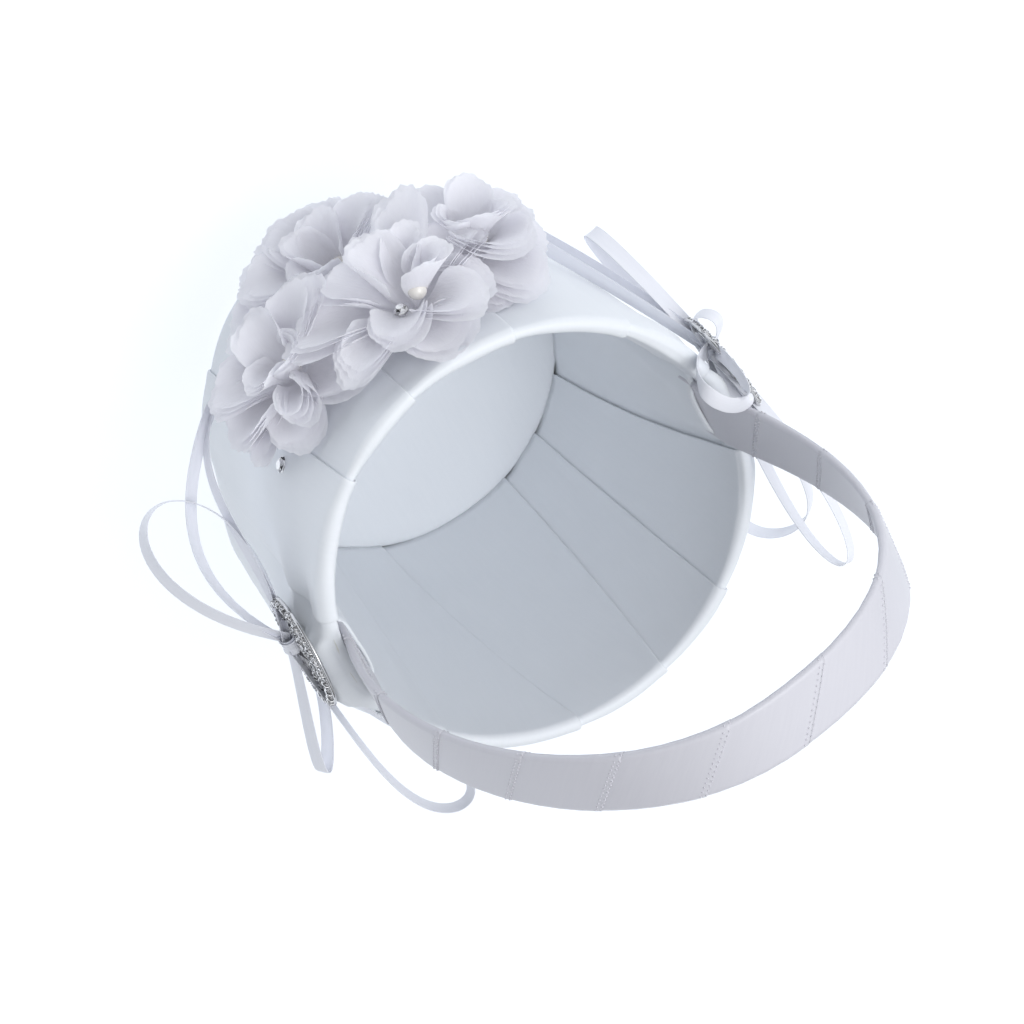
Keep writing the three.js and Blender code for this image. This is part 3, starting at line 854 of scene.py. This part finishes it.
def add_bows():
    for side, loops in LOOPS.items():
        for number, loop in enumerate(loops, 1):
            name = f"bow_{side}_loop_{number}"
            nodes = [name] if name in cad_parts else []
            loop_surface = ribbon_loop(side, *loop)
            add_mesh("visual_" + name, loop_surface, RIBBON, nodes, thickness=RIBBON_THICKNESS)
        node = f"bow_{side}_knot"
        add_mesh("visual_" + node, knot_surface(side), RIBBON, [node], thickness=0.2)


# ---- Stones and brooches ----


def frame_of(axis):
    """Two directions square to an axis."""
    axis = axis.normalized()
    side = axis.cross(UP if abs(axis.z) < 0.9 else Vector((1, 0, 0))).normalized()
    return side, axis.cross(side)


def add_stone(surface, base, axis, radius, height, rng, sides=8):
    """A cut stone: a flat table, a ring of crown facets and a girdle."""
    side, other = frame_of(axis)
    axis = axis.normalized()
    rings = []
    for share, rise, shift in ((0.9, 0.0, 0), (1.0, 0.35, 0), (0.82, 0.72, 0.5), (0.52, 1.0, 0)):
        ring = circle(base + axis * rise * height, side, other, radius * share, sides, shift)
        rings.append([tuple(point) for point in ring])
    foot, girdle, crown, table = rings
    # Each facet gets a random tone, a painted reflection standing in for a bright or dark glint.
    for lower, upper in ((foot, girdle), (girdle, crown), (crown, table)):
        for i in range(sides):
            j = (i + 1) % sides
            quad = [lower[i], lower[j], upper[j], upper[i]]
            if lower is foot:
                surface.add(quad, [[0, 1, 2, 3]], tone=rng.uniform(0.3, 0.8))
                continue
            surface.add(quad, [[0, 1, 2]], tone=rng.choice((0.05, 0.35, 0.7, 0.95, 1.0)))
            surface.add(quad, [[0, 2, 3]], tone=rng.choice((0.1, 0.5, 0.8, 1.0)))
    surface.add(table, [list(range(sides))], tone=rng.uniform(0.75, 1.0))
    surface.add(foot, [list(range(sides))[::-1]], tone=0.4)


def add_tube(surface, points, radius, sides=7, closed=False):
    """A round wire along points."""
    rows = []
    count = len(points)
    for i, point in enumerate(points):
        before = points[i - 1] if i or closed else point
        after = points[(i + 1) % count] if i < count - 1 or closed else point
        ahead = (after - before).normalized()
        side = ahead.cross(UP)
        if side.length < 0.2:
            side = ahead.cross(Vector((1, 0.3, 0)))
        side.normalize()
        rows.append([tuple(spot) for spot in circle(point, side, ahead.cross(side), radius, sides)])
    if closed:
        rows.append(rows[0])
    surface.add_grid(rows, closed=True)


BROOCH_TURN = 6  # degrees that a brooch turns towards the front
BROOCH_SEEDS = {"right": 4, "left": 9}
RING_STEPS = 64
STONE_HEIGHT = 1.5
SCROLLS = 8
INNER_RING = 0.42  # of the brooch's radius
STONE_RING = 0.63


def brooch(side):
    """An openwork brooch: rings of set stones joined by scrolls, round a larger middle stone."""
    low, high = box_mm(f"brooch_{side}_frame")
    middle = (low + high) / 2
    turn_front = math.radians(BROOCH_TURN)
    outward = Vector((math.cos(turn_front) * (1 if side == "right" else -1), -math.sin(turn_front), 0))
    beside = UP.cross(outward)
    radius = (high.z - low.z) / 2
    metal_surface = Surface()
    stones = Surface()
    rng = random.Random(BROOCH_SEEDS[side])

    def ring(place, size, count, shift=0.0):
        return circle(place, beside, UP, size, count, shift)

    def spot(turn, distance, rise=0.0):
        return middle + (beside * math.cos(turn) + UP * math.sin(turn)) * distance + outward * rise

    for ring_radius, wire in ((radius - 1.0, 0.55), (radius - 4.4, 0.5), (radius * INNER_RING, 0.6)):
        add_tube(metal_surface, ring(middle, ring_radius, RING_STEPS), wire, closed=True)
    for ring_radius, count, size in ((radius - 2.7, 26, 1.55), (radius * INNER_RING, 12, 1.35)):
        for place in ring(middle, ring_radius, count):
            base = place + outward * 0.3
            add_stone(stones, base, outward, size, STONE_HEIGHT, rng)
            add_tube(metal_surface, ring(place + outward * 0.4, size + 0.1, 12), 0.28, sides=5, closed=True)
            tips = ring(base + outward * 1.35, size * 0.72, 4, 0.5)
            for foot, tip in zip(ring(base, size + 0.15, 4, 0.5), tips):
                add_tube(metal_surface, [foot - outward * 0.3, foot + outward * 0.7, tip], 0.24, sides=5)
    for i in range(SCROLLS):
        turn = math.tau * i / SCROLLS
        scroll = []
        for step in range(22):
            share = step / 21
            wind = 2.4 * math.pi * share
            distance = radius * (0.47 + 0.3 * share)
            sway = 0.26 * math.sin(wind) * (1 - 0.3 * share)
            scroll.append(spot(turn + sway, distance, 0.4 * math.sin(math.pi * share)))
        add_tube(metal_surface, scroll, 0.42)
        place = spot(turn + math.pi / SCROLLS, radius * STONE_RING)
        add_stone(stones, place + outward * 0.2, outward, 1.5, STONE_HEIGHT, rng)
        add_tube(metal_surface, ring(place, 1.6, 12), 0.3, sides=5, closed=True)
    return metal_surface, stones, middle, outward, radius, rng


def add_brooches():
    for side in ("right", "left"):
        metal_surface, stones, middle, outward, radius, rng = brooch(side)
        name = f"brooch_{side}_"
        add_mesh("visual_" + name + "frame", metal_surface, SILVER, [name + "frame"])
        add_mesh("visual_" + name + "small_stones", stones, CRYSTAL, smooth=False)
        centre = Surface()
        add_stone(centre, middle, outward, radius * 0.33, 2.4, rng, sides=12)
        add_mesh("visual_" + name + "stone", centre, CRYSTAL, [name + "stone"], smooth=False)


# ---- Flowers ----

# Each petal of a flower: the way it points, in degrees round the flower, its slope off the wall, its
# length, its width, and how tightly its sides roll up, from 0, flat, to 1, a cone.
FLOWERS = {
    "top": {
        "outer": [
            (92, 12, 26, 25, 0.3), (32, 14, 31, 21, 0.45), (352, 18, 35, 24, 0.3),
            (150, 20, 23, 23, 0.3), (205, 22, 30, 24, 0.3),
        ],
        "middle": [
            (236, 44, 35, 20, 0.5), (60, 34, 24, 20, 0.4),
            (118, 30, 26, 22, 0.4), (320, 40, 26, 22, 0.5),
        ],
        "inner": [(292, 66, 25, 25, 0.75), (150, 58, 24, 22, 0.85), (222, 64, 24, 20, 0.8)],
    },
    "low": {
        "outer": [
            (5, 24, 35, 26, 0.3), (50, 14, 28, 24, 0.3), (312, 24, 30, 26, 0.3),
            (262, 30, 29, 26, 0.3), (215, 24, 27, 24, 0.3),
        ],
        "middle": [(350, 46, 28, 26, 0.4), (285, 52, 26, 24, 0.4), (190, 55, 26, 18, 0.5)],
        "inner": [(235, 70, 22, 20, 0.7), (30, 66, 20, 20, 0.7), (310, 72, 21, 20, 0.8)],
    },
    "left": {
        "outer": [
            (10, 5, 26, 17, 0.3), (350, 8, 26, 17, 0.3), (60, 12, 24, 23, 0.3),
            (122, 14, 28, 25, 0.35), (318, 30, 26, 24, 0.3),
        ],
        "middle": [
            (5, 27, 26, 24, 0.45), (80, 28, 27, 22, 0.9),
            (335, 46, 26, 23, 0.4), (186, 48, 28, 24, 0.4),
        ],
        "inner": [(245, 64, 22, 24, 0.7), (130, 62, 20, 20, 0.7), (20, 66, 18, 18, 0.8)],
    },
    "right": {
        "outer": [
            (98, 18, 30, 26, 0.3), (143, 36, 22, 22, 0.3), (80, 6, 31, 16, 0.2),
            (200, 40, 22, 23, 0.3), (262, 28, 27, 25, 0.3),
        ],
        "middle": [
            (96, 50, 28, 28, 0.4), (40, 40, 26, 22, 0.4),
            (220, 50, 22, 23, 0.4), (300, 44, 26, 22, 0.4),
        ],
        "inner": [(120, 72, 24, 20, 0.7), (20, 68, 20, 20, 0.8), (250, 74, 23, 20, 0.7)],
    },
}
FLOWER_TILT = math.radians(6)
FLOWER_RISE = {"top": 5, "right": 4}  # the gathered middle above the backing's
PETAL_LAYERS = {"outer": 4, "middle": 4, "inner": 3}
PETAL_STEPS = 18
PETAL_FILL = math.pi / 4 * 0.86  # a petal's area as a share of its length and width
FLOWER_SEED = 31
PEARL_RADIUS = 2.9


def flower_axes(name):
    """A flower's middle on the wall, and its sideways, upward and outward directions."""
    middle = middle_mm(f"flower_{name}_backing")
    bearing = math.atan2(middle.y, middle.x)
    level = Vector((math.cos(bearing), math.sin(bearing), 0))
    outward = level * math.cos(FLOWER_TILT) + UP * math.sin(FLOWER_TILT)
    sideways = UP.cross(level)
    upward = outward.cross(sideways)
    return middle + upward * FLOWER_RISE.get(name, 0), sideways, upward, outward


def keep_off_wall(point, gap):
    """Pushes a point out to a gap off the satin, less strictly above the rim."""
    over = ease((point.z - RIM_Z - 3) / 8)
    least = wall_radius(min(max(point.z, 0), RIM_Z)) + gap - 8 * over
    distance = math.hypot(point.x, point.y)
    if distance < least:
        push = least / max(distance, 1e-6)
        return Vector((point.x * push, point.y * push, point.z))
    return point


def petal_layer(surface, axes, shape, layer, rng, wave_phase):
    """One layer of a petal: narrow where it is gathered, its sides rolled up, its tip turned back."""
    middle, sideways, upward, outward = axes
    turn, slope, length, width, roll = shape
    turn = math.radians(turn) + rng.uniform(-0.06, 0.06)
    slope = math.radians(slope - 3.5 * layer)
    length *= 1 + 0.035 * layer + rng.uniform(-0.02, 0.02)
    width *= 1 + 0.05 * layer
    away = sideways * math.cos(turn) + upward * math.sin(turn)
    beside = -sideways * math.sin(turn) + upward * math.cos(turn)
    rows = []
    places = []
    for i in range(PETAL_STEPS + 1):
        v = i / PETAL_STEPS * 2 - 1
        line = []
        place = []
        for j in range(PETAL_STEPS + 1):
            u = j / PETAL_STEPS * 2 - 1
            x = u * math.sqrt(1 - v * v / 2)
            y = v * math.sqrt(1 - u * u / 2)
            share = (y + 1) / 2
            edge = max(abs(u), abs(v)) ** 4
            around = math.atan2(x, y)
            fray = 0.012 * math.sin(23 * around + wave_phase) + 0.02 * math.sin(7 * around + layer)
            fray = 1 + edge * fray
            spread = width / 2 * x * (0.16 + 0.84 * ease(share * 1.7)) * fray
            run = length * share * fray
            radius = (1.12 - roll) * width * (0.22 + 0.6 * share) + 1.5
            angle = max(min(spread / radius, 2.2), -2.2)
            across = radius * math.sin(angle)
            up = radius * (1 - math.cos(angle))
            bend = slope - 0.5 * share * share * (1 - roll) * slope
            ripple = 0.5 * share * edge * math.sin(3 * around + wave_phase)
            out = run * math.cos(bend) - up * math.sin(bend)
            height = run * math.sin(bend) + up * math.cos(bend) + ripple - 0.25 * layer
            point = middle + away * (0.8 + out) + beside * across + outward * (height + 1.4)
            line.append(tuple(keep_off_wall(point, 0.9 + 0.3 * (3 - layer))))
            place.append((spread + wave_phase * 7, run + wave_phase * 3))
        rows.append(line)
        places.append(place)
    surface.add_grid(rows, places)
    return PETAL_FILL * length * width


def petal_group(name, word, shapes, rng):
    """The petals of one ring, each a stack of thin layers gathered at the flower's middle."""
    surface = Surface()
    axes = flower_axes(name)
    area = 0.0
    for shape in shapes:
        phase = rng.uniform(0, math.tau)
        for layer in range(PETAL_LAYERS[word]):
            area += petal_layer(surface, axes, shape, layer, rng, phase)
    node = f"flower_{name}_petals_{word}"
    piece = add_mesh("visual_" + node, surface, CHIFFON, [node])


def add_flowers():
    for number, (name, groups) in enumerate(FLOWERS.items()):
        rng = random.Random(FLOWER_SEED + number)
        for word, shapes in groups.items():
            petal_group(name, word, shapes, rng)
        add_flower_middle(name, rng)


def ball(middle, radius):
    east, north = Vector((1, 0, 0)), Vector((0, 1, 0))
    surface = Surface()
    rows = []
    for i in range(13):
        polar = math.pi * min(max(i / 12, 0.004), 0.996)
        height = UP * radius * math.cos(polar)
        ring = circle(middle + height, east, north, radius * math.sin(polar), 20)
        rows.append([tuple(point) for point in ring])
    surface.add_grid(rows, closed=True)
    return surface


def add_flower_middle(name, rng):
    """A pearl sewn down in the flower's throat, and beside it on the top flower a stone."""
    middle, sideways, upward, outward = flower_axes(name)
    node = f"flower_{name}_pearl"
    seat = middle + outward * 8 + upward * 1.5
    if name == "top":
        seat += outward * 2.5 + upward * 3.5
    add_mesh("visual_" + node, ball(seat - sideways * 2.4, PEARL_RADIUS), PEARL, [node])
    if name != "top":
        return
    node = "flower_top_rhinestone"
    stone = Surface()
    add_stone(stone, seat + sideways * 4.4 - outward * 3.5 + upward * 0.5, outward, 2.3, 2.2, rng)
    add_mesh("visual_" + node, stone, CRYSTAL, [node], smooth=False)


def add_stud():
    middle = middle_mm("crystal_stud")
    outward = Vector((middle.x, middle.y, 0)).normalized()
    surface = Surface()
    add_stone(surface, middle - outward * 0.6, outward, 2.8, 2.3, random.Random(2))
    add_mesh("visual_crystal_stud", surface, CRYSTAL, ["crystal_stud"], smooth=False)
    side, other = frame_of(outward)
    setting = Surface()
    add_tube(setting, circle(middle - outward * 0.2, side, other, 3.1, 20), 0.35, closed=True)
    add_mesh("visual_stud_setting", setting, SILVER)


# ---- Carried-over pieces ----


def finish_carried_over():
    finishes = {"bucket_shell": BOARD, "handle_core": STRIP}
    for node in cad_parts:
        if node.startswith("staple_"):
            finishes[node] = STEEL
        if node.endswith("_backing"):
            finishes[node] = CHIFFON
    for node, material in finishes.items():
        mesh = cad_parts[node].data
        mesh.materials.clear()
        mesh.materials.append(material)


# ---- Stage ----

# In metres, as the frame is.
FLOOR_HALF = 6.0
LIGHT_SIZE = 0.8
LIGHTS = {  # place and power
    "key": ((-0.2, -0.28, 1.45), 8.2),
    "side": ((-1.5, -0.5, 0.6), 0.9),
}
LIGHT_AIM = Vector((0, 0, 0.1))
SKY_TOWARD = (-0.32, 0.02, 1.0)
SKY_LEVEL = 0.07
SKY_LEAST = 0.03


def add_stage():
    """A white floor that glows a little, like a light table."""
    material = new_material("floor_white", (0.25, 0.25, 0.25), 0.9,
                            Emission_Color=(0.88, 0.93, 1, 1), Emission_Strength=0.9)
    surface = bpy.data.meshes.new("floor")
    half = FLOOR_HALF
    corners = [(-half, -half, 0), (half, -half, 0), (half, half, 0), (-half, half, 0)]
    surface.from_pydata(corners, [], [[0, 1, 2, 3]])
    surface.materials.append(material)
    floor = bpy.data.objects.new("floor", surface)
    bpy.context.scene.collection.objects.link(floor)


def add_light(name, place, power):
    light = bpy.data.objects.new(name, bpy.data.lights.new(name, "AREA"))
    light.data.size = LIGHT_SIZE
    light.data.energy = power
    light.location = place
    light.rotation_euler = (LIGHT_AIM - Vector(place)).to_track_quat("-Z", "Y").to_euler()
    bpy.context.scene.collection.objects.link(light)


def add_sky():
    """A soft studio dome, brightest overhead and a little brighter on the side of -X."""
    world = bpy.data.worlds.new("studio")
    bpy.context.scene.world = world
    world.use_nodes = True
    nodes, links = world.node_tree.nodes, world.node_tree.links
    background = nodes["Background"]
    background.inputs["Color"].default_value = (0.94, 0.965, 1.0, 1)
    direction = nodes.new("ShaderNodeTexCoord").outputs["Generated"]
    value = direction
    for kind, operation, amount in (
        ("ShaderNodeVectorMath", "DOT_PRODUCT", SKY_TOWARD),
        ("ShaderNodeMath", "ADD", SKY_LEVEL),
        ("ShaderNodeMath", "MAXIMUM", SKY_LEAST),
    ):
        node = nodes.new(kind)
        node.operation = operation
        node.inputs[1].default_value = amount
        links.new(value, node.inputs[0])
        value = node.outputs["Value"]
    links.new(value, background.inputs["Strength"])


def add_lights():
    add_sky()
    for name, (place, power) in LIGHTS.items():
        add_light(name, place, power)


bpy.context.scene.view_settings.view_transform = "Standard"

add_satin_panels()
add_linings()
add_disc("floor_pad", PAD_HIGH.x, PAD_LOW.z, PAD_HIGH.z, 0.3)
add_disc("base_cover", COVER_RADIUS, 0.0, COVER_TOP, 0.0)
add_handle_wrap()
add_bows()
add_brooches()
add_flowers()
add_stud()
finish_carried_over()
add_stage()
add_lights()
